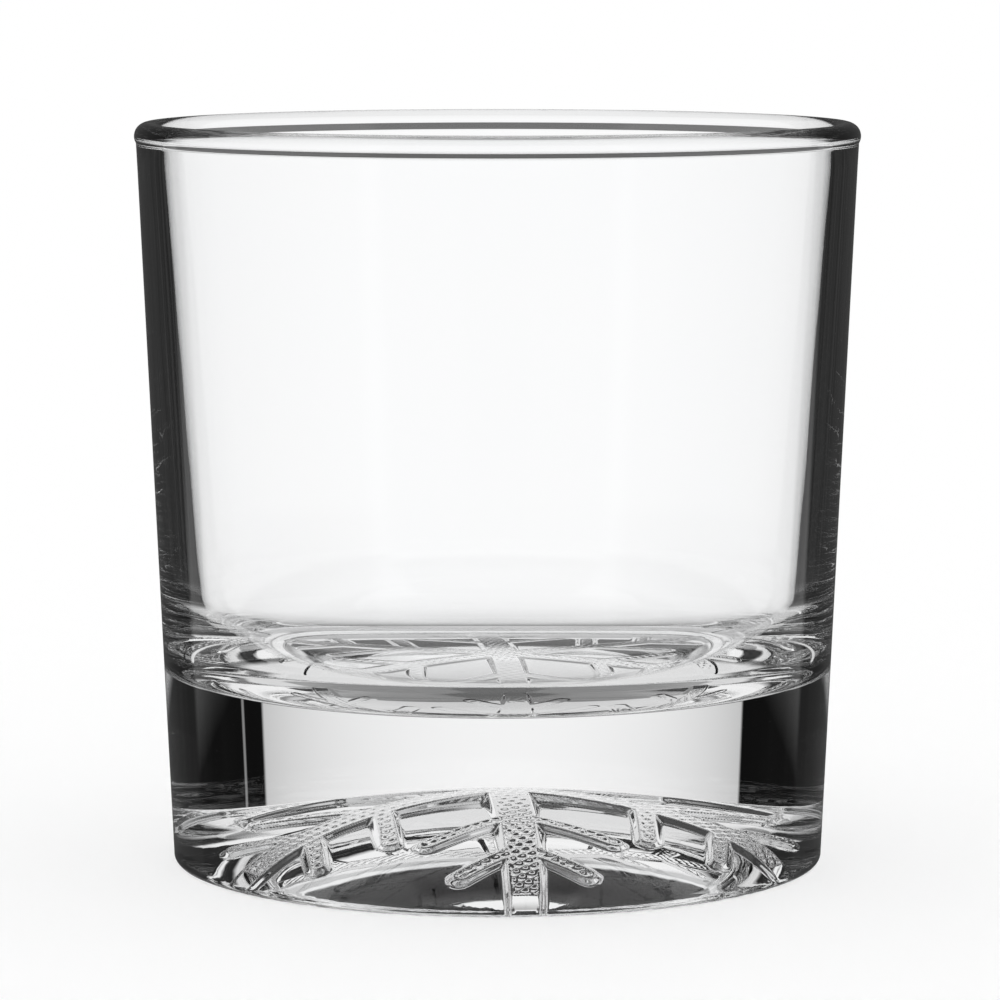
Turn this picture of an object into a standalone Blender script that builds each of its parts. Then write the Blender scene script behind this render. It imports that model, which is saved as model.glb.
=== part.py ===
"""Heavy-base whiskey tumbler of clear pressed glass, with a snowflake sunk into its underside.

Metres, +Z up. The origin is on the axis, in the plane of the table that the glass stands on.
"""

import math

import bmesh
import bpy

# Overall size
HEIGHT = 0.0886
RIM_RADIUS = 0.0432
BEAD_RADIUS = 0.0016
BEAD_NECK_ANGLE = math.radians(31)

# Outer wall, straight from the rounded bottom edge to the bead
WALL_TABLE_RADIUS = 0.0390
WALL_TAPER = 0.0459
EDGE_RADIUS = 0.0008

# Inside of the bowl
FLOOR_HEIGHT = 0.0218
CORNER_WIDTH = 0.0105
CORNER_HEIGHT = 0.0132
INNER_TAPER = 0.0753

# Hollow underside, a shallow dome inside a flat foot ring
DOME_RADIUS = 0.0342
DOME_HEIGHT = 0.0096

# Where the hollow bowl ends and the solid base begins
SEAM_HEIGHT = 0.0183
SEAM_GAP = 0.0003

# Snowflake: six arms, each with two pairs of side twigs, deeper where the arms meet
ARM_COUNT = 6
ARM_TURN = math.radians(4.6)
GROOVE_DEPTH = 0.00075
HUB_DEPTH = 0.0008
HUB_REACH = 0.012
MOUTH_DROP = 0.0004
TWIG_ANGLES = (math.radians(54), math.radians(50.5))
TWIG_ROOTS = (0.0130, 0.02195)
CEILING = {"arm": 0.00186, "twig": 0.00103, "arm_end": 0.0352, "twig_ends": (0.01235, 0.0095)}
MOUTH = {"arm": 0.00222, "twig": 0.00140, "arm_end": 0.0358, "twig_ends": (0.0125, 0.0102)}

# Fineness of the round forms
ROUND_STEPS = 72
CORNER_STEPS = 8
BEAD_STEPS = 12
EDGE_STEPS = 5
DOME_STEPS = 9
TIP_STEPS = 6
SIDE_STEPS = 3

GLASS = {"color": (0.96, 0.98, 0.98, 1.0), "roughness": 0.02, "ior": 1.52}


def clear_scene():
    for obj in list(bpy.data.objects):
        bpy.data.objects.remove(obj, do_unlink=True)


def glass_material(name):
    material = bpy.data.materials.new(name)
    material.use_nodes = True
    shader = material.node_tree.nodes["Principled BSDF"]
    shader.inputs["Base Color"].default_value = GLASS["color"]
    shader.inputs["Metallic"].default_value = 0.0
    shader.inputs["Roughness"].default_value = GLASS["roughness"]
    shader.inputs["IOR"].default_value = GLASS["ior"]
    shader.inputs["Transmission Weight"].default_value = 1.0
    return material


def wall_radius(z):
    return WALL_TABLE_RADIUS + WALL_TAPER * z


def arc(center, radius, start, end, steps):
    """Points (r, z) on a circle, from one angle to another."""
    points = []
    for i in range(steps + 1):
        angle = start + (end - start) * i / steps
        points.append((center[0] + radius * math.cos(angle), center[1] + radius * math.sin(angle)))
    return points


def dome_rise(r):
    """Height of the dome's curve at a distance from the axis, below zero outside the dome."""
    return DOME_HEIGHT * (1 - (r / DOME_RADIUS) ** 2)


def dome_height(r):
    """Height of the hollow underside, zero on the foot ring."""
    return max(dome_rise(r), 0.0)


def ceiling_height(r):
    """Height of the groove ceilings, which run out in the foot ring."""
    return dome_rise(r) + GROOVE_DEPTH + HUB_DEPTH * math.exp(-((r / HUB_REACH) ** 2))


def bowl_profile():
    """From the middle of the floor up the inside, over the bead and down the outside to the seam."""
    lean = math.atan(INNER_TAPER)
    bead = (RIM_RADIUS - BEAD_RADIUS, HEIGHT - BEAD_RADIUS)
    inner_at_bead = bead[0] - BEAD_RADIUS / math.cos(lean)
    corner_z = FLOOR_HEIGHT + CORNER_HEIGHT
    turn = math.atan(INNER_TAPER * CORNER_HEIGHT / CORNER_WIDTH)
    corner_top = corner_z - CORNER_HEIGHT * math.sin(turn)
    inner_at_corner = inner_at_bead - INNER_TAPER * (bead[1] - corner_top)
    corner_r = inner_at_corner - CORNER_WIDTH * math.cos(turn)
    points = [(0.0, FLOOR_HEIGHT)]
    for x, z in arc((0.0, 0.0), 1.0, -math.pi / 2, -turn, CORNER_STEPS):
        points.append((corner_r + CORNER_WIDTH * x, corner_z + CORNER_HEIGHT * z))
    points += arc(bead, BEAD_RADIUS, math.pi - lean, -BEAD_NECK_ANGLE, BEAD_STEPS)
    neck_z = points[-1][1] - BEAD_RADIUS / 4
    points.append((wall_radius(neck_z), neck_z))
    points.append((wall_radius(SEAM_HEIGHT), SEAM_HEIGHT))
    points.append((0.0, SEAM_HEIGHT))
    return points


def base_profile():
    """From the middle of the seam out, down the wall, round the edge, over the foot and up the dome."""
    lean = math.atan(WALL_TAPER)
    top = SEAM_HEIGHT - SEAM_GAP
    edge = (wall_radius(EDGE_RADIUS) - EDGE_RADIUS / math.cos(lean), EDGE_RADIUS)
    points = [(0.0, top), (wall_radius(top), top)]
    points += arc(edge, EDGE_RADIUS, -lean, -math.pi / 2, EDGE_STEPS)
    for i in range(DOME_STEPS + 1):
        r = DOME_RADIUS * (1 - i / DOME_STEPS)
        points.append((r, dome_height(r)))
    return points


def turned(name, profile, material):
    """A closed profile turned about the axis."""
    mesh = bpy.data.meshes.new(name)
    corners = [(r, 0.0, z) for r, z in profile]
    mesh.from_pydata(corners, [(i, i + 1) for i in range(len(corners) - 1)], [])
    mesh.materials.append(material)
    obj = bpy.data.objects.new(name, mesh)
    bpy.context.collection.objects.link(obj)
    screw = obj.modifiers.new("turn", "SCREW")
    screw.axis = "Z"
    screw.steps = ROUND_STEPS
    screw.render_steps = ROUND_STEPS
    screw.use_smooth_shade = True
    screw.use_merge_vertices = True
    screw.merge_threshold = 0.00001
    return obj


def straight(start, end):
    """Points from start to end, without start."""
    shares = [i / SIDE_STEPS for i in range(1, SIDE_STEPS + 1)]
    return [(start[0] + (end[0] - start[0]) * t, start[1] + (end[1] - start[1]) * t) for t in shares]


def arm_side(widths):
    """One side of an arm as (along, across), from the hub corner to the middle of the arm's tip."""
    arm, twig = widths["arm"], widths["twig"]
    points = [(arm / math.tan(math.pi / ARM_COUNT), arm)]
    for root, angle, end in zip(TWIG_ROOTS, TWIG_ANGLES, widths["twig_ends"]):
        along, across = math.cos(angle), math.sin(angle)
        center = (root + (end - twig) * along, (end - twig) * across)
        tip = arc(center, twig, angle + math.pi / 2, angle - math.pi / 2, TIP_STEPS)
        points += straight(points[-1], (root + (arm * along - twig) / across, arm))
        points += straight(points[-1], tip[0]) + tip[1:]
        points += straight(points[-1], (root + (arm * along + twig) / across, arm))
    tip = arc((widths["arm_end"] - arm, 0.0), arm, math.pi / 2, 0.0, TIP_STEPS // 2)
    return points + straight(points[-1], tip[0]) + tip[1:]


def snowflake_outline(widths):
    """The whole snowflake as (x, y), one arm after the other."""
    side = arm_side(widths)
    arm = side[1:] + [(u, -v) for u, v in reversed(side[:-1])]
    outline = []
    for i in range(ARM_COUNT):
        angle = -math.pi / 2 + ARM_TURN - 2 * math.pi * i / ARM_COUNT
        c, s = math.cos(angle), math.sin(angle)
        outline += [(u * c - v * s, u * s + v * c) for u, v in arm]
    return outline


def snowflake_cutter():
    """The space of the grooves: a narrow ceiling that follows the dome, and a wider mouth below it."""
    ceiling = [(x, y, ceiling_height(math.hypot(x, y))) for x, y in snowflake_outline(CEILING)]
    mouth = [(x, y, dome_height(math.hypot(x, y)) - MOUTH_DROP) for x, y in snowflake_outline(MOUTH)]
    form = bmesh.new()
    top = [form.verts.new(p) for p in ceiling]
    bottom = [form.verts.new(p) for p in mouth]
    form.faces.new(top)
    form.faces.new(list(reversed(bottom)))
    for i in range(len(top)):
        j = (i + 1) % len(top)
        form.faces.new((top[j], top[i], bottom[i], bottom[j]))
    bmesh.ops.triangulate(form, faces=form.faces[:])
    bmesh.ops.recalc_face_normals(form, faces=form.faces[:])
    mesh = bpy.data.meshes.new("snowflake_cutter")
    form.to_mesh(mesh)
    form.free()
    obj = bpy.data.objects.new("snowflake_cutter", mesh)
    bpy.context.collection.objects.link(obj)
    obj.hide_render = True
    obj.display_type = "WIRE"
    return obj


def build_bowl(parent):
    bowl = turned("bowl", bowl_profile(), glass_material("bowl_glass"))
    bowl.parent = parent


def build_base(parent):
    base = turned("base", base_profile(), glass_material("base_glass"))
    base.parent = parent
    cutter = snowflake_cutter()
    cutter.parent = parent
    cut = base.modifiers.new("snowflake", "BOOLEAN")
    cut.operation = "DIFFERENCE"
    cut.solver = "EXACT"
    cut.object = cutter


def main():
    clear_scene()
    tumbler = bpy.data.objects.new("tumbler", None)
    bpy.context.collection.objects.link(tumbler)
    build_bowl(tumbler)
    build_base(tumbler)


main()
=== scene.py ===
import math

import bmesh
import bpy
import numpy as np
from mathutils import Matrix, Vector
from mathutils.geometry import delaunay_2d_cdt


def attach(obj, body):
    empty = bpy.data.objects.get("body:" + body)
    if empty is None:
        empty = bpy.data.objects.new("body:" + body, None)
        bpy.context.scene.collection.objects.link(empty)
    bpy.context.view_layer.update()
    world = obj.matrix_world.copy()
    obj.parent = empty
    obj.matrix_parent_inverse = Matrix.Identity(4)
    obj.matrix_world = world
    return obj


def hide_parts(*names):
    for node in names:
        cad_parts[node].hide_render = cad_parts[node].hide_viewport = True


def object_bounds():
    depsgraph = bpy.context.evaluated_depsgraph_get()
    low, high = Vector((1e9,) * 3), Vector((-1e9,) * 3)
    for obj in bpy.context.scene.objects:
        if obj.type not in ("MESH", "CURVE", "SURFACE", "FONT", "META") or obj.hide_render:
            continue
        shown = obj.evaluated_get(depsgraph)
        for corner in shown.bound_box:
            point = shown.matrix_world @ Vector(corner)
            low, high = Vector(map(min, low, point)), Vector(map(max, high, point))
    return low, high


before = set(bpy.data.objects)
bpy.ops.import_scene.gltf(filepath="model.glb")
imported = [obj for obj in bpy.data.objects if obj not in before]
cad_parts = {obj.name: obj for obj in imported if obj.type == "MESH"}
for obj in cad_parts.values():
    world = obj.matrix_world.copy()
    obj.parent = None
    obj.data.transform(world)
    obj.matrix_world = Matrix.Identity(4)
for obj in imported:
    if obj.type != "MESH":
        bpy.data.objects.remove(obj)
cadBox = [list(corner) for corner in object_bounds()]
print("frame loaded, box", cadBox)

scene = bpy.context.scene
scene.view_settings.view_transform = "Standard"
scene.cycles.max_bounces = 32  # light turns many times inside thick glass
scene.cycles.transmission_bounces = 24
scene.cycles.glossy_bounces = 24


# small helpers for node trees

def addNode(tree, kind, sockets=None, **settings):
    made = tree.nodes.new(kind)
    for key, value in settings.items():
        setattr(made, key, value)
    for key, value in (sockets or {}).items():
        if isinstance(value, bpy.types.NodeSocket):
            tree.links.new(value, made.inputs[key])
        else:
            made.inputs[key].default_value = value
    return made


def calc(tree, operation, *values):
    made = addNode(tree, "ShaderNodeMath", dict(enumerate(values)), operation=operation)
    return made.outputs[0]


def ramp(tree, value, start, end, low=0.0, high=1.0):  # smooth step from low to high
    sockets = {"Value": value, "From Min": start, "From Max": end, "To Min": low, "To Max": high}
    made = addNode(tree, "ShaderNodeMapRange", sockets, interpolation_type="SMOOTHSTEP")
    return made.outputs["Result"]


# the tumbler: one piece of pressed glass, all lengths in metres

tumbler = {
    "beadRadius": 0.0016,
    "beadNeck": math.radians(31),  # where the bead runs into the wall
    "neckFillet": 0.0026,  # height of the hollow under the bead
    "neckShares": (0.2, 0.4, 0.6, 0.8),  # points along the hollow
    "kneeDrop": 0.3,  # how far down the hollow its bend lies
    "kneeInset": 0.00002,
    "wallAtTable": 0.0390,
    "wallTaper": 0.0459,
    "edgeRadius": 0.0008,
    "floorHeight": 0.0218,
    "cornerWide": 0.0105,  # the inside corner is a quarter of an ellipse
    "cornerTall": 0.0132,
    "innerTaper": 0.0753,
    "domeRadius": 0.0342,
    "domeHeight": 0.0100,
    "domeFillet": 0.0004,
    "joinRadius": 0.0387,  # the underside meets the turned form here, low on the rounded edge
    "sectorSteps": 16,  # round steps in each of the twelve half arms
    "edgeSteps": 10,
    "wallSteps": 18,
    "beadSteps": 28,
    "insideSteps": 16,
    "cornerSteps": 24,
    "floorSteps": 10,
    "weld": 2e-6,
}

snowflake = {
    "arms": 6,
    "turn": math.radians(4.6),
    "shift": 0.00065,  # pressed a little to the right of the axis
    "shiftFade": 6,  # the shift runs out towards the foot ring, by this power
    "depth": 0.00055,
    "hubDepth": 0.0006,  # added where the arms meet
    "hubReach": 0.012,
    "twigAngles": (math.radians(54), math.radians(50.5)),
    "twigRoots": (0.0130, 0.02195),
    "ceiling": {"arm": 0.00150, "twig": 0.00075, "armEnd": 0.0352, "twigEnds": (0.0121, 0.0092)},
    "mouth": {"arm": 0.00238, "twig": 0.00150, "armEnd": 0.0360, "twigEnds": (0.0127, 0.0103)},
    "fillet": 0.0003,  # rounds the corners between arm and twigs
    "twigSteps": 12,
    "tipSteps": 8,
}

undersideGrid = {  # where the mesh points of the underside lie
    # rows up the groove sides, 0 at the ceiling and 1 at the mouth
    "rows": (-0.2, 0.0, 0.12, 0.25, 0.4, 0.6, 0.75, 0.88, 1.0, 1.25),
    "rowStep": 0.00030,
    "ceilingStep": 0.00019,
    "plainStep": 0.00070,
    "armLine": (0.0372, 0.0374, 4),  # end of the fine steps, start and count of the last ones
    "gapLine": (0.0052, 0.0054),  # end of the fine steps at the hub, start of the plain ones
    "ceilingInset": 0.95,  # from here on in shares of ceilingStep
    "bankStep": 1.8,  # beside the grooves
    "bankNear": 1.3,
    "bankFar": 5,
    "clear": 0.5,  # kept free along the border
    "merge": 0.42,  # points nearer than this become one
    "rowShare": 0.866,  # height of an even triangle
    "tolerance": 1e-7,
}

stipple = {
    "pitch": 0.00118,
    "turn": math.radians(34.8),
    "height": 0.00014,  # from the corner of a cell up to the top of its dot
    "margin": 0.0003,  # fades out towards the groove sides
    "reach": 0.0317,  # the arms are smooth beyond
}

rimRadius = (cadBox[1][0] - cadBox[0][0]) / 2
rimHeight = cadBox[1][2]


def wallRadius(z):
    return tumbler["wallAtTable"] + tumbler["wallTaper"] * z


def edgeCentre():
    slope = math.atan(tumbler["wallTaper"])
    radius = tumbler["edgeRadius"]
    return wallRadius(radius) - radius / math.cos(slope), radius


def arcPoints(centre, radius, start, end, steps):
    turns = [start + (end - start) * i / steps for i in range(steps + 1)]
    return [(centre[0] + radius * math.cos(a), centre[1] + radius * math.sin(a)) for a in turns]


def linePoints(start, end, steps):  # without either end
    ts = [i / steps for i in range(1, steps)]
    return [(start[0] + (end[0] - start[0]) * t, start[1] + (end[1] - start[1]) * t) for t in ts]


def turnedProfile():  # (radius, height) up the outside from the foot, over the bead and down the inside
    outerLean = math.atan(tumbler["wallTaper"])
    innerLean = math.atan(tumbler["innerTaper"])
    edge = edgeCentre()
    edgeR = tumbler["edgeRadius"]
    joinAngle = -math.acos((tumbler["joinRadius"] - edge[0]) / edgeR)
    outside = arcPoints(edge, edgeR, joinAngle, -outerLean, tumbler["edgeSteps"])

    beadR = tumbler["beadRadius"]
    bead = (rimRadius - beadR, rimHeight - beadR)
    beadArc = arcPoints(bead, beadR, -tumbler["beadNeck"], math.pi - innerLean, tumbler["beadSteps"])
    beadZ = beadArc[0][1]
    neckZ = beadZ - tumbler["neckFillet"]
    neck = (wallRadius(neckZ), neckZ)
    outside += linePoints(outside[-1], neck, tumbler["wallSteps"]) + [neck]
    knee = (wallRadius(beadZ) - tumbler["kneeInset"], beadZ - tumbler["neckFillet"] * tumbler["kneeDrop"])
    for t in tumbler["neckShares"]:
        a, b, c = (1 - t) ** 2, 2 * t * (1 - t), t * t
        outside.append(tuple(a * p + b * q + c * r for p, q, r in zip(neck, knee, beadArc[0])))

    wide, tall = tumbler["cornerWide"], tumbler["cornerTall"]
    cornerZ = tumbler["floorHeight"] + tall
    turn = math.atan(tumbler["innerTaper"] * tall / wide)
    cornerTop = cornerZ - tall * math.sin(turn)
    innerAtBead = bead[0] - beadR / math.cos(innerLean)
    innerAtCorner = innerAtBead - tumbler["innerTaper"] * (bead[1] - cornerTop)
    cornerR = innerAtCorner - wide * math.cos(turn)
    quarter = arcPoints((0, 0), 1.0, -turn, -math.pi / 2, tumbler["cornerSteps"])
    cornerArc = [(cornerR + wide * x, cornerZ + tall * z) for x, z in quarter]
    inside = linePoints(beadArc[-1], cornerArc[0], tumbler["insideSteps"]) + cornerArc
    inside += linePoints(cornerArc[-1], (0.0, tumbler["floorHeight"]), tumbler["floorSteps"])
    return outside + beadArc + inside


def smoothMin(a, b, reach):  # the lower of two heights, rounded where they meet
    h = np.maximum(reach - np.abs(a - b), 0.0) / reach
    return np.minimum(a, b) - h * h * reach * 0.25


def grooveDistance(u, v, widths):  # below zero inside the arm and its twigs
    tip = widths["armEnd"] - widths["arm"]
    away = np.hypot(np.maximum(u - tip, 0.0), v) - widths["arm"]
    for root, angle, end in zip(snowflake["twigRoots"], snowflake["twigAngles"], widths["twigEnds"]):
        c, s = math.cos(angle), math.sin(angle)
        along = (u - root) * c + v * s
        across = -(u - root) * s + v * c
        past = along - np.clip(along, 0.0, end - widths["twig"])
        away = smoothMin(away, np.hypot(past, across) - widths["twig"], snowflake["fillet"])
    return away


def grooveSide(widths):  # outline of half an arm as (u, v), from the hub to the arm's tip
    arm, twig = widths["arm"], widths["twig"]
    points = [(arm / math.tan(math.pi / snowflake["arms"]), arm)]
    for root, angle, end in zip(snowflake["twigRoots"], snowflake["twigAngles"], widths["twigEnds"]):
        c, s = math.cos(angle), math.sin(angle)
        centre = (root + (end - twig) * c, (end - twig) * s)
        points.append((root + (arm * c - twig) / s, arm))
        points += arcPoints(centre, twig, angle + math.pi / 2, angle - math.pi / 2, snowflake["twigSteps"])
        points.append((root + (arm * c + twig) / s, arm))
    points += arcPoints((widths["armEnd"] - arm, 0.0), arm, math.pi / 2, 0.0, snowflake["tipSteps"])
    return np.array(points)


def evenly(points, step):  # the same line with points at even steps
    gaps = np.hypot(*np.diff(points, axis=0).T)
    run = np.concatenate([[0.0], np.cumsum(gaps)])
    at = np.linspace(0.0, run[-1], max(2, round(run[-1] / step)))
    return np.stack([np.interp(at, run, points[:, 0]), np.interp(at, run, points[:, 1])], axis=1)


def hexGrid(step, reach):
    rowShare = undersideGrid["rowShare"]
    rows = int(reach / (step * rowShare)) + 1
    cols = int(reach / step) + 1
    u, v = np.meshgrid(np.arange(cols) * step, np.arange(rows) * step * rowShare)
    u = u + (np.arange(rows)[:, None] % 2) * step * 0.5  # every second row moves by half a step
    return np.stack([u.ravel(), v.ravel()], axis=1)


def halfArmMesh():  # half an arm and half the gap beside it, flat, as points (u, v) and triangles
    join = tumbler["joinRadius"]
    half = math.pi / snowflake["arms"]
    ceiling, mouth = snowflake["ceiling"], snowflake["mouth"]
    fine, plain = undersideGrid["ceilingStep"], undersideGrid["plainStep"]

    # border: up the arm's middle, round the foot, back along the middle between two arms
    fineEnd, lastStart, lastCount = undersideGrid["armLine"]
    middle = np.concatenate([np.arange(0.0, fineEnd, fine), np.linspace(lastStart, join, lastCount)])
    hubEnd, plainStart = undersideGrid["gapLine"]
    gapLine = np.concatenate([np.arange(fine, hubEnd, fine), np.arange(plainStart, join - plain / 2, plain)])
    arc = np.linspace(0.0, half, tumbler["sectorSteps"] + 1)
    border = [(u, 0.0) for u in middle[:-1]]
    border += [(join * math.cos(a), join * math.sin(a)) for a in arc]
    border += [(r * math.cos(half), r * math.sin(half)) for r in gapLine[::-1]]

    # rows that follow the groove sides, then even grids inside and outside of them
    picks = []
    for level in undersideGrid["rows"]:
        widths = {k: np.array(ceiling[k]) * (1 - level) + np.array(mouth[k]) * level for k in ceiling}
        picks.append(evenly(grooveSide(widths), undersideGrid["rowStep"]))
    grid = hexGrid(fine, join)
    inset = grooveDistance(grid[:, 0], grid[:, 1], ceiling)
    picks.append(grid[inset < -fine * undersideGrid["ceilingInset"]])
    bankStep, bankNear, bankFar = (fine * undersideGrid[k] for k in ("bankStep", "bankNear", "bankFar"))
    for step, near, far in ((bankStep, bankNear, bankFar), (plain, bankFar, join)):
        grid = hexGrid(step, join)
        gap = grooveDistance(grid[:, 0], grid[:, 1], mouth)
        picks.append(grid[(gap > near) & (gap <= far)])
    points = np.concatenate(picks)

    # keep clear of the border
    radius = np.hypot(points[:, 0], points[:, 1])
    angle = np.arctan2(points[:, 1], points[:, 0])
    clear = fine * undersideGrid["clear"]
    kept = (points[:, 1] > clear) & (radius * np.sin(half - angle) > clear) & (radius < join - clear * 2)
    points = points[kept]

    # drop points that nearly coincide
    cells = {}
    cell = fine * undersideGrid["merge"]
    for i, (u, v) in enumerate(points):
        cells.setdefault((round(u / cell), round(v / cell)), i)
    points = points[sorted(cells.values())]

    places = [Vector(p) for p in border] + [Vector(p) for p in points]
    rim = [(i, (i + 1) % len(border)) for i in range(len(border))]
    flat, _, faces, _, _, _ = delaunay_2d_cdt(places, rim, [], 1, undersideGrid["tolerance"])
    return np.array([tuple(p) for p in flat]), np.array([tuple(f) for f in faces if len(f) == 3])


def domeHeight(r):
    return tumbler["domeHeight"] * (1.0 - (r / tumbler["domeRadius"]) ** 2)


def plainHeight(r):  # dome, foot ring and the start of the rounded edge
    height = -smoothMin(-domeHeight(r), np.zeros_like(r), tumbler["domeFillet"])
    edge = edgeCentre()
    past = np.clip(r - edge[0], 0.0, edge[1])
    return height + edge[1] - np.sqrt(edge[1] ** 2 - past**2)


def ceilingHeight(r):  # runs out in the foot ring
    depth = snowflake["depth"] + snowflake["hubDepth"] * np.exp(-((r / snowflake["hubReach"]) ** 2))
    return -smoothMin(-domeHeight(r) - depth, -plainHeight(r), tumbler["domeFillet"])


def stippleHeight(x, y):
    c, s = math.cos(stipple["turn"]), math.sin(stipple["turn"])
    p = stipple["pitch"]
    a, b = (x * c + y * s) / p, (-x * s + y * c) / p
    away = np.hypot(a - np.round(a), b - np.round(b)) / math.sqrt(0.5)
    return stipple["height"] * (1.0 - away**2)


def undersideMesh():
    flat, faces = halfArmMesh()
    u, v = flat[:, 0], flat[:, 1]
    r = np.hypot(u, v)
    toCeiling = grooveDistance(u, v, snowflake["ceiling"])
    toMouth = grooveDistance(u, v, snowflake["mouth"])
    side = np.clip(toCeiling / np.maximum(toCeiling - toMouth, 1e-9), 0.0, 1.0)
    cut = 1.0 - side * side * (3 - 2 * side)
    plain = plainHeight(r)
    base = plain + (ceilingHeight(r) - plain) * cut
    dotted = np.clip(-toCeiling / stipple["margin"], 0.0, 1.0)
    dotted = dotted * np.clip((stipple["reach"] - r) / stipple["margin"], 0.0, 1.0)
    drift = snowflake["shift"] * (1.0 - (r / tumbler["joinRadius"]) ** snowflake["shiftFade"])
    points, triangles = [], []
    for arm in range(snowflake["arms"]):
        angle = -math.pi / 2 + snowflake["turn"] + arm * 2 * math.pi / snowflake["arms"]
        c, s = math.cos(angle), math.sin(angle)
        for hand in (1, -1):
            x, y = u * c - hand * v * s + drift, u * s + hand * v * c
            z = base - stippleHeight(x, y) * dotted
            triangles.append(faces + len(points) * len(flat))
            points.append(np.stack([x, y, z], axis=1))
    return np.concatenate(points), np.concatenate(triangles)


def buildTumbler():
    points, triangles = undersideMesh()
    points = [tuple(p) for p in points]
    faces = [tuple(int(i) for i in f) for f in triangles]
    steps = tumbler["sectorSteps"] * snowflake["arms"] * 2
    start = -math.pi / 2 + snowflake["turn"]
    profile = turnedProfile()
    first = len(points)
    for r, z in profile:
        for k in range(steps):
            a = start + 2 * math.pi * k / steps
            points.append((r * math.cos(a), r * math.sin(a), z))
    for i in range(len(profile) - 1):
        for k in range(steps):
            p, q = first + i * steps, first + (i + 1) * steps
            n = (k + 1) % steps
            faces.append((p + k, p + n, q + n, q + k))
    points.append((0.0, 0.0, tumbler["floorHeight"]))
    last = first + (len(profile) - 1) * steps
    faces += [(last + k, last + (k + 1) % steps, len(points) - 1) for k in range(steps)]

    mesh = bpy.data.meshes.new("tumblerGlass")
    mesh.from_pydata(points, [], faces)
    form = bmesh.new()
    form.from_mesh(mesh)
    bmesh.ops.remove_doubles(form, verts=form.verts[:], dist=tumbler["weld"])
    bmesh.ops.recalc_face_normals(form, faces=form.faces[:])
    openEdges = sum(1 for e in form.edges if not e.is_manifold)
    form.to_mesh(mesh)
    form.free()
    mesh.polygons.foreach_set("use_smooth", [True] * len(mesh.polygons))
    glass = bpy.data.objects.new("tumbler_glass", mesh)
    scene.collection.objects.link(glass)
    mesh.calc_loop_triangles()
    print("tumbler", len(mesh.loop_triangles), "triangles,", openEdges, "open edges")
    return glass


clearGlass = {
    "ior": 1.52,
    "tintLow": (0.990, 0.995, 1.0, 1.0),
    "tintHigh": (1.0, 1.0, 1.0, 1.0),
    "roughLow": 0.0,
    "roughHigh": 0.012,
    "cloudScale": 60.0,  # slow change of tint and polish
    "cloudDetail": 3.0,
    "cloudRange": (0.45, 0.75),
    "streakScale": (240.0, 240.0, 7.0),  # drawn out up the wall
    "streakDetail": 2.0,
    "streakHeight": 0.000010,
}


def makeGlass():
    material = bpy.data.materials.new("clearGlass")
    material.use_nodes = True
    tree = material.node_tree
    shader = tree.nodes["Principled BSDF"]
    shader.inputs["IOR"].default_value = clearGlass["ior"]
    shader.inputs["Transmission Weight"].default_value = 1.0
    place = addNode(tree, "ShaderNodeTexCoord").outputs["Object"]
    stretched = addNode(tree, "ShaderNodeMapping", {"Vector": place, "Scale": clearGlass["streakScale"]})
    streakSockets = {"Vector": stretched.outputs[0], "Scale": 1.0, "Detail": clearGlass["streakDetail"]}
    streak = addNode(tree, "ShaderNodeTexNoise", streakSockets)
    bumpSockets = {"Height": streak.outputs["Fac"], "Strength": 1.0, "Distance": clearGlass["streakHeight"]}
    bump = addNode(tree, "ShaderNodeBump", bumpSockets)
    tree.links.new(bump.outputs[0], shader.inputs["Normal"])
    cloudSockets = {"Vector": place, "Scale": clearGlass["cloudScale"], "Detail": clearGlass["cloudDetail"]}
    cloud = addNode(tree, "ShaderNodeTexNoise", cloudSockets).outputs["Fac"]
    rough = ramp(tree, cloud, *clearGlass["cloudRange"], clearGlass["roughLow"], clearGlass["roughHigh"])
    tree.links.new(rough, shader.inputs["Roughness"])
    # inputs 6 and 7 and output 2 of the mix are its colours
    tintSockets = {"Factor": cloud, 6: clearGlass["tintLow"], 7: clearGlass["tintHigh"]}
    tint = addNode(tree, "ShaderNodeMix", tintSockets, data_type="RGBA")
    tree.links.new(tint.outputs[2], shader.inputs["Base Color"])
    return material


glass = buildTumbler()
glass.data.materials.append(makeGlass())
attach(glass, "root")
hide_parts("bowl", "base")


# studio: white paper all round, and what each kind of ray through the glass finds there
# tables give (degrees above level, brightness), and toward and sides are degrees round from +Y

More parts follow.
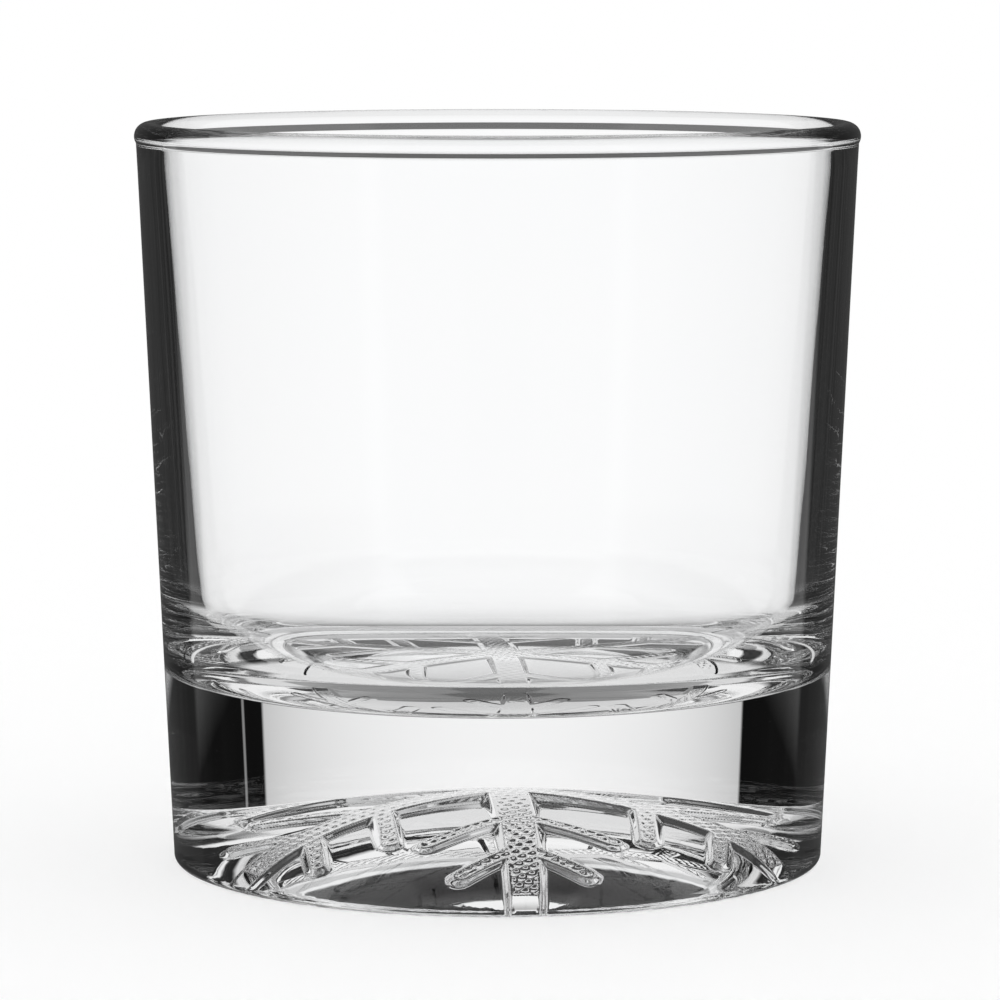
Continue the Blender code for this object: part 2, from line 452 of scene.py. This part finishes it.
studio = {
    "paper": 0.97,
    "floorReach": 12.0,
    "floorDrop": 0.00002,  # keeps the paper clear of the foot ring
    "shadow": 1.7,  # light for the paper under the glass, about half of it is lost on the way
    "sill": 0.3,  # softness of the windows' lower and upper edges
    "windows": (  # seen straight through the solid base
        {"toward": -1.1, "half": 33.3, "soft": 0.4, "low": -24, "high": -1.2, "middle": 0.98, "side": 0.60},
        {"toward": 90, "half": 31, "soft": 0.4, "low": -3.4, "high": 12, "middle": 0.98, "side": 0.62},
        {"toward": -90, "half": 31, "soft": 0.4, "low": -3.4, "high": 12, "middle": 0.98, "side": 0.62},
        {"toward": 180, "half": 31, "soft": 0.4, "low": -3.4, "high": 12, "middle": 0.98, "side": 0.62},
        {"toward": 100, "half": 35, "soft": 2, "low": -12, "high": -5.4, "middle": 0.5, "side": 0.5},
        {"toward": -100, "half": 35, "soft": 2, "low": -12, "high": -5.4, "middle": 0.5, "side": 0.5},
        {"toward": 37.0, "half": 0.3, "soft": 0.2, "low": -15, "high": 12, "middle": 0.25, "side": 0.25},
    ),
    "base": {  # around the windows
        "sides": ((50, 54), (130, 140)),  # where ahead ends, and where behind starts
        "ahead": ((-90, 0.93), (-23, 0.9), (-20, 0.2), (-12, 0.14), (-9.5, 0.003), (-3, 0.003), (-0.5, 0.14),
                  (14, 0.14), (30, 0.01), (90, 0.003)),
        "aside": ((-90, 0.93), (-11.5, 0.93), (-9.5, 0.003), (90, 0.003)),
        "behind": ((-90, 0.93), (-11.5, 0.93), (-9.5, 0.003), (90, 0.003)),
    },
    # straight through the bowl
    "bowl": ((-90, 0.7), (-70, 0.7), (-63, 0.3), (-58, 0.3), (-52, 0.55), (-46, 0.71), (-42, 0.78),
             (-37, 0.88), (-32, 0.97), (-26, 1.0), (3, 1.0), (8, 0.05), (90, 0.03)),
    "skin": {  # mirrored by the outside
        "sides": ((50, 54), (95, 150)),
        "ahead": ((-90, 0.08), (90, 0.08)),
        "aside": ((-90, 0.03), (-11.7, 0.03), (-10.9, 0.6), (30, 0.6), (50, 0.1), (90, 0.1)),
        "behind": ((-90, 0.03), (-14, 0.03), (-12.8, 1.0), (30, 1.0), (50, 0.2), (90, 0.2)),
    },
    "once": {  # thrown back once inside the glass
        "sides": ((50, 54), (130, 140)),
        "ahead": ((-90, 0.6), (-60, 0.65), (-45, 0.72), (-24, 0.7), (-20, 0.1), (-17, 0.0), (-4, 0.0),
                  (-1, 0.6), (2, 0.92), (50, 0.92), (58, 0.05), (90, 0.02)),
        "aside": ((-90, 0.22), (-55, 0.25), (-45, 0.33), (-26, 0.3), (-24, 0.46), (-13, 0.46), (-8, 0.36),
                  (-6, 0.05), (0, 0.1), (4, 0.7), (50, 0.7), (58, 0.05), (90, 0.02)),
        "behind": ((-90, 0.15), (-30, 0.12), (-25, 1.0), (-12.5, 1.0), (-9, 0.0), (90, 0.0)),
    },
    "often": {  # thrown back more than once
        "sides": ((50, 54), (130, 140)),
        "ahead": ((-90, 0.78), (-25, 0.78), (-19, 0.2), (-15, 0.02), (9, 0.02), (13, 0.4), (18, 0.95),
                  (55, 0.95), (60, 0.02), (90, 0.02)),
        "aside": ((-90, 0.6), (-27, 0.7), (-20, 0.3), (-12, 0.02), (44, 0.02), (52, 0.6), (62, 0.7),
                  (90, 0.8)),
        "behind": ((-90, 1.0), (-40, 0.9), (-30, 0.2), (-12, 0.2), (-8, 0.0), (90, 0.0)),
    },
    "hollow": {  # thrown back, and through the inside of the bowl
        "sides": ((22, 26), (130, 140)),
        "ahead": ((-90, 0.85), (-12, 0.85), (-4, 0.5), (12, 0.5), (14.5, 0.95), (18.3, 0.95), (20, 0.0),
                  (90, 0.0)),
        "aside": ((-90, 0.5), (-30, 0.5), (-14, 0.6), (-8, 0.95), (11, 0.95), (15, 0.3), (22, 0.3), (28, 0.5),
                  (33, 0.65), (38, 0.65), (44, 0.02), (90, 0.02)),
        "behind": ((-90, 1.0), (-40, 0.4), (-12.5, 0.5), (0, 0.6), (16, 0.8), (20, 0.0), (43, 0.0), (47, 1.0),
                   (90, 1.0)),
    },
    # faint upright streaks in the dark edges
    "streaks": {"across": 34.0, "detail": 3.0, "range": (0.35, 0.7), "low": 0.003, "high": 0.03},
}


def awayFrom(tree, azimuth, toward):
    turned = calc(tree, "SUBTRACT", azimuth, math.radians(toward))
    return calc(tree, "ABSOLUTE", calc(tree, "WRAP", turned, math.pi, -math.pi))


def between(tree, value, low, high, soft):
    rise = ramp(tree, value, math.radians(low - soft), math.radians(low + soft))
    fall = ramp(tree, value, math.radians(high - soft), math.radians(high + soft), 1.0, 0.0)
    return calc(tree, "MULTIPLY", rise, fall)


def windowLight(tree, azimuth, elevation, window):
    away = awayFrom(tree, azimuth, window["toward"])
    half, soft = math.radians(window["half"]), math.radians(window["soft"])
    across = ramp(tree, away, half - soft, half + soft, 1.0, 0.0)
    upright = between(tree, elevation, window["low"], window["high"], studio["sill"])
    share = calc(tree, "POWER", calc(tree, "DIVIDE", away, half), 2.0)
    drop = calc(tree, "MULTIPLY", share, window["side"] - window["middle"])
    level = calc(tree, "ADD", drop, window["middle"])
    return calc(tree, "MULTIPLY", calc(tree, "MULTIPLY", across, upright), level)


def either(tree, mask, ifNot, ifSo):
    sockets = {"Factor": mask, "A": ifNot, "B": ifSo}
    return addNode(tree, "ShaderNodeMix", sockets).outputs["Result"]


def atLeast(tree, count, least):  # counts are whole numbers
    return calc(tree, "GREATER_THAN", count, least - 0.5)


def byHeight(tree, elevation, stops):  # brightness from one table
    quarter = math.pi / 2
    sockets = {"Value": elevation, "From Min": -quarter, "From Max": quarter}
    share = addNode(tree, "ShaderNodeMapRange", sockets).outputs["Result"]
    made = addNode(tree, "ShaderNodeValToRGB", {"Fac": share})
    marks = made.color_ramp.elements
    while len(marks) < len(stops):
        marks.new(1.0)
    for mark, (degrees, level) in zip(marks, stops):
        mark.position = (degrees + 90) / 180
        mark.color = (level, level, level, 1.0)
    return made.outputs["Color"]


def bySide(tree, azimuth, elevation, parts):  # brightness from three tables, for ahead, aside and behind
    away = calc(tree, "ABSOLUTE", azimuth)
    (first, second), (third, fourth) = ([math.radians(d) for d in pair] for pair in parts["sides"])
    ahead, aside, behind = (byHeight(tree, elevation, parts[k]) for k in ("ahead", "aside", "behind"))
    level = either(tree, ramp(tree, away, first, second), ahead, aside)
    return either(tree, ramp(tree, away, third, fourth), level, behind)


def makeWorld():
    world = bpy.data.worlds.new("studio")
    scene.world = world
    world.use_nodes = True
    world.cycles.sampling_method = "NONE"
    tree = world.node_tree
    background = tree.nodes["Background"]
    direction = addNode(tree, "ShaderNodeTexCoord").outputs["Generated"]
    axes = addNode(tree, "ShaderNodeSeparateXYZ", {0: direction}).outputs
    azimuth = calc(tree, "ARCTAN2", axes["X"], axes["Y"])
    elevation = calc(tree, "ARCSINE", axes["Z"])
    rays = addNode(tree, "ShaderNodeLightPath").outputs
    turns, passes = rays["Glossy Depth"], rays["Transmission Depth"]
    inside = atLeast(tree, passes, 3)  # has been through the inside of the bowl

    # straight through the glass
    base = bySide(tree, azimuth, elevation, studio["base"])
    for window in studio["windows"]:
        base = calc(tree, "MAXIMUM", base, windowLight(tree, azimuth, elevation, window))
    straight = either(tree, inside, base, byHeight(tree, elevation, studio["bowl"]))

    # thrown back by the glass
    streaks = studio["streaks"]
    across = calc(tree, "MULTIPLY", azimuth, streaks["across"])
    noise = {"W": across, "Scale": 1.0, "Detail": streaks["detail"]}
    streak = addNode(tree, "ShaderNodeTexNoise", noise, noise_dimensions="1D").outputs["Fac"]
    streak = ramp(tree, streak, *streaks["range"], streaks["low"], streaks["high"])
    once = calc(tree, "MAXIMUM", bySide(tree, azimuth, elevation, studio["once"]), streak)
    often = bySide(tree, azimuth, elevation, studio["often"])
    thrown = either(tree, atLeast(tree, turns, 2), once, often)
    thrown = either(tree, inside, thrown, bySide(tree, azimuth, elevation, studio["hollow"]))
    skin = bySide(tree, azimuth, elevation, studio["skin"])
    thrown = either(tree, atLeast(tree, passes, 1), skin, thrown)

    # all kinds together; rays that start on the paper find one even level
    inGlass = either(tree, atLeast(tree, turns, 1), straight, thrown)
    inGlass = either(tree, atLeast(tree, rays["Diffuse Depth"], 1), inGlass, studio["shadow"])
    throughGlass = calc(tree, "MAXIMUM", rays["Is Glossy Ray"], rays["Is Transmission Ray"])
    plain = either(tree, rays["Is Camera Ray"], 1.0 / studio["paper"], 1.0)
    level = either(tree, throughGlass, plain, inGlass)
    tree.links.new(level, background.inputs["Color"])
    background.inputs["Strength"].default_value = 1.0


def makeFloor():
    mesh = bpy.data.meshes.new("paperFloor")
    reach = studio["floorReach"]
    corners = [(-reach, -reach, 0), (reach, -reach, 0), (reach, reach, 0), (-reach, reach, 0)]
    mesh.from_pydata(corners, [], [(0, 1, 2, 3)])
    floor = bpy.data.objects.new("paper_floor", mesh)
    scene.collection.objects.link(floor)
    floor.location.z = -studio["floorDrop"]
    material = bpy.data.materials.new("whitePaper")
    material.use_nodes = True
    shader = material.node_tree.nodes["Principled BSDF"]
    shader.inputs["Base Color"].default_value = (studio["paper"],) * 3 + (1.0,)
    shader.inputs["Roughness"].default_value = 1.0
    shader.inputs["Specular IOR Level"].default_value = 0.0
    mesh.materials.append(material)
    floor.visible_transmission = False  # the glass shows the studio's tables instead
    floor.visible_glossy = False


makeWorld()
makeFloor()
print("studio ready")


view = {
    "place": (0.0, -0.592, 0.111),
    "tilt": math.radians(6.53),  # looks down by this much
    "lens": 178.6,
    "sensor": 36.0,
    "shift": 0.0025,
    "near": 0.01,
}


def makeCamera():
    data = bpy.data.cameras.new("camera")
    data.lens = view["lens"]
    data.sensor_width = view["sensor"]
    data.shift_x = view["shift"]
    data.clip_start = view["near"]
    camera = bpy.data.objects.new("camera", data)
    camera.location = view["place"]
    camera.rotation_euler = (math.pi / 2 - view["tilt"], 0.0, 0.0)
    scene.collection.objects.link(camera)
    scene.camera = camera


makeCamera()
print("camera ready")
